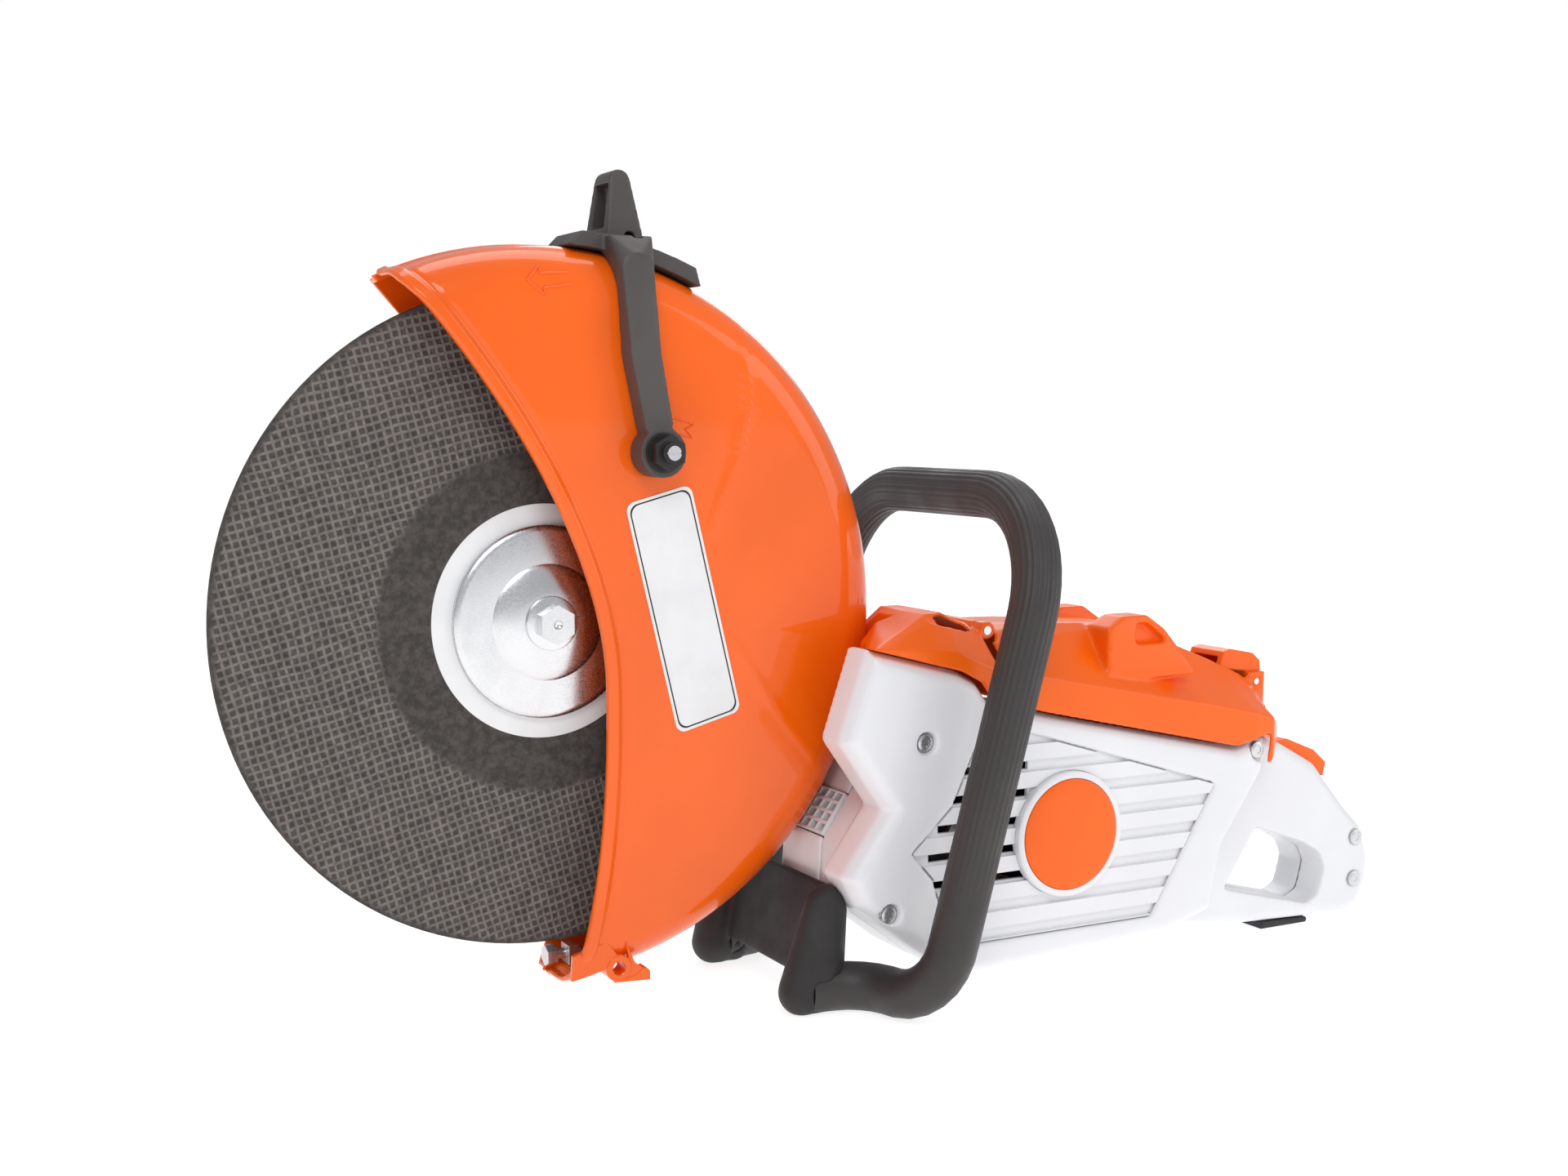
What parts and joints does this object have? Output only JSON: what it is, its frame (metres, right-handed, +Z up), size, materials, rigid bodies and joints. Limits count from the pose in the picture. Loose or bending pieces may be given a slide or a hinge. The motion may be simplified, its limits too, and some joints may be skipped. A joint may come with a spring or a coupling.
{
  "type": "rescue saw",
  "caption": "Battery cut-off saw for rescue work: guarded abrasive wheel on a belt-driven arm, looped front handle, rear handle with trigger, hinged battery flap.",
  "frame": {"origin": "middle of the floor plan, on the floor under the bumper and the rear foot", "axes": "+X from the wheel to the rear handle, +Y to the belt side, +Z up"},
  "size_m": [0.736, 0.2378, 0.455],
  "materials": {
    "white_shell": "smooth light grey moulding",
    "orange_cover": "glossy orange moulding",
    "orange_paint": "glossy orange paint on sheet metal",
    "grey_rubber": "ribbed soft grip",
    "grey_plastic": "fine satin",
    "black_plastic": "satin",
    "black_rubber": "matt",
    "abrasive": "bonded grain with woven reinforcement",
    "steel": "turned steel",
    "screw_steel": "bright screws",
    "cast_aluminium": "fine cast",
    "paper_white": "blank label",
    "brass_part": "plain",
    "copper_winding": "enamelled winding",
    "magnet_steel": "laminated",
    "board": "coated board",
    "red_wire": "insulated wire"
  },
  "bodies": {
    "machine": {"left_housing": "white_shell", "right_housing": "white_shell", "side_panel": "white_shell", "badge_ring": "white_shell", "badge_disc": "orange_cover", "front_grille": "white_shell", "nose_cover": "orange_cover", "battery": "black_plastic", "battery_tray": "black_plastic", "contact_block": "brass_part", "motor_stator": "copper_winding", "motor_end_plates": "cast_aluminium", "motor_bearings": "steel", "arm": "cast_aluminium", "belt_cover": "white_shell", "belt": "black_rubber", "spindle_bearings": "steel", "controller": "board", "motor_wires": "red_wire", "handle_tube": "steel", "handle_sleeve": "grey_rubber", "front_bumper": "black_plastic", "rubber_buffers": "black_rubber", "rear_foot": "black_rubber", "trigger_switch": "black_plastic", "trigger_pin": "steel", "lockout_pin": "steel", "flap_pin": "steel", "housing_screws": "screw_steel", "handle_screws": "screw_steel", "arm_screws": "screw_steel", "guard_ring": "steel"},
    "wheel": {"cutting_wheel": "abrasive", "wheel_label": "paper_white", "outer_flange": "steel", "inner_flange": "steel", "wheel_washer": "steel", "wheel_bolt": "steel", "spindle": "steel", "spindle_pulley": "steel", "spindle_nut": "steel"},
    "rotor": {"motor_rotor": "magnet_steel", "motor_shaft": "steel", "motor_fan": "black_plastic", "motor_pulley": "steel"},
    "guard": {"guard_shell": "orange_paint", "guard_back": "orange_paint", "adjusting_handle": "grey_plastic", "saddle_screw": "screw_steel", "water_nozzle": "black_plastic", "nozzle_screw": "screw_steel", "stop_bolt": "screw_steel", "guard_plate": "paper_white"},
    "flap": {"battery_flap": "orange_cover", "latch_pin": "steel"},
    "latch": {"flap_latch": "orange_cover"},
    "trigger": {"trigger": "black_plastic"},
    "lockout": {"lockout_lever": "orange_cover"}
  },
  "joints": [
    {"name": "wheel_spin", "type": "hinge", "parent": "machine", "child": "wheel", "pos_m": [-0.193, 0.0075, 0.22], "axis": [0, 1, 0], "continuous": true},
    {"name": "motor_spin", "type": "hinge", "parent": "machine", "child": "rotor", "pos_m": [0.035, 0.0075, 0.125], "axis": [0, 1, 0], "continuous": true},
    {"name": "guard_tilt", "type": "hinge", "parent": "machine", "child": "guard", "pos_m": [-0.193, 0.0205, 0.22], "axis": [0, 1, 0], "range_deg": [-20, 40]},
    {"name": "flap_hinge", "type": "hinge", "parent": "machine", "child": "flap", "pos_m": [0.051, -0.0225, 0.208], "axis": [0, -1, 0], "range_deg": [0, 60]},
    {"name": "latch_hinge", "type": "hinge", "parent": "flap", "child": "latch", "pos_m": [0.263, -0.0225, 0.1635], "axis": [0, 1, 0], "range_deg": [0, 25], "stiffness_Nm_per_rad": 0.4, "springref_deg": -8.59},
    {"name": "trigger_hinge", "type": "hinge", "parent": "machine", "child": "trigger", "pos_m": [0.247, -0.0225, 0.074], "axis": [0, 1, 0], "range_deg": [0, 9], "stiffness_Nm_per_rad": 0.6, "springref_deg": -5.73},
    {"name": "lockout_hinge", "type": "hinge", "parent": "machine", "child": "lockout", "pos_m": [0.275, -0.0225, 0.115], "axis": [0, 1, 0], "range_deg": [0, 8], "stiffness_Nm_per_rad": 0.6, "springref_deg": -5.73}
  ],
  "couplings": [
    {"joint": "motor_spin", "follows": "wheel_spin", "ratio": 2}
  ]
}
